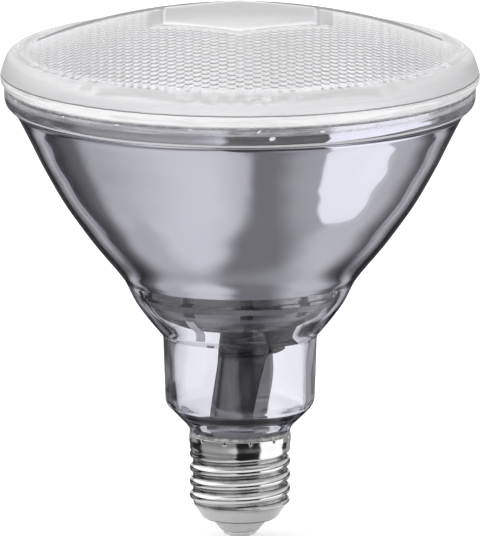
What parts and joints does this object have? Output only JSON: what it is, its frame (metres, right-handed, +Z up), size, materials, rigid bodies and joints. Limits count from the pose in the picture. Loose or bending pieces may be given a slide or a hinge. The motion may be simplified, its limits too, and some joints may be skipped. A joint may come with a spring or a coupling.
{
  "type": "reflector spotlight bulb",
  "caption": "Spotlight bulb: clear glass body with a mirrored cone and clear neck, a domed dimpled glass lens, a metal column inside the neck and an E27 screw cap.",
  "frame": {"origin": "tip of the centre contact, on the bulb's axis", "axes": "+Z up the bulb's axis from the screw cap to the lens; the hexagon on the lens has corners at +Y and -Y"},
  "size_m": [0.124, 0.124, 0.1384],
  "materials": {
    "lens_glass": "clear pressed glass, dimpled on its inner face",
    "body_glass": "clear pressed glass, polished",
    "seal_silicone": "clear adhesive, slightly milky",
    "mirror_film": "vacuum-deposited aluminium, bright",
    "heat_sink_metal": "dark satin metal",
    "grey_silicone": "matt thermal silicone",
    "spring_steel": "bright strip",
    "plate_aluminium": "turned",
    "thermal_pad_grey": "soft, matt",
    "board_white": "white solder mask",
    "led_body": "white moulded",
    "phosphor": "yellow, slightly glossy",
    "screw_steel": "zinc plated",
    "wire_red": "silicone insulation",
    "wire_black": "silicone insulation",
    "wire_blue": "silicone insulation",
    "solder_tin": "bright solder",
    "sleeve_plastic": "moulded",
    "circuit_board": "green solder mask",
    "ferrite": "sintered, matt",
    "coil_tape": "yellow tape",
    "capacitor_sleeve": "heat-shrink sleeve",
    "film_box": "dipped resin",
    "chip_epoxy": "moulded epoxy",
    "resistor_body": "coated",
    "shell_nickel": "nickel-plated brass",
    "cement": "set cement, part clear",
    "insulator_grey": "light grey moulding",
    "contact_metal": "plated"
  },
  "bodies": {
    "root": {"lens": "lens_glass", "lens_seal": "seal_silicone", "reflector_glass": "body_glass", "mirror_coating": "mirror_film", "heat_sink": "heat_sink_metal", "heat_sink_adhesive": "grey_silicone", "retaining_clips": "spring_steel", "spreader_plate": "plate_aluminium", "thermal_pad": "thermal_pad_grey", "led_board": "board_white", "led_packages": "led_body", "led_phosphors": "phosphor", "board_screws": "screw_steel", "led_lead_positive": "wire_red", "led_lead_negative": "wire_black", "lead_solder_joints": "solder_tin", "insulating_sleeve": "sleeve_plastic", "driver_board": "circuit_board", "transformer_core": "ferrite", "transformer_coil": "coil_tape", "input_choke": "ferrite", "smoothing_capacitor": "capacitor_sleeve", "film_capacitor": "film_box", "bridge_rectifier": "chip_epoxy", "driver_chip": "chip_epoxy", "fuse_resistor": "resistor_body", "live_wire": "wire_black", "neutral_wire": "wire_blue", "screw_shell": "shell_nickel", "cap_cement": "cement", "cap_insulator": "insulator_grey", "contact_plate": "contact_metal", "contact_solder": "solder_tin"}
  },
  "joints": []
}
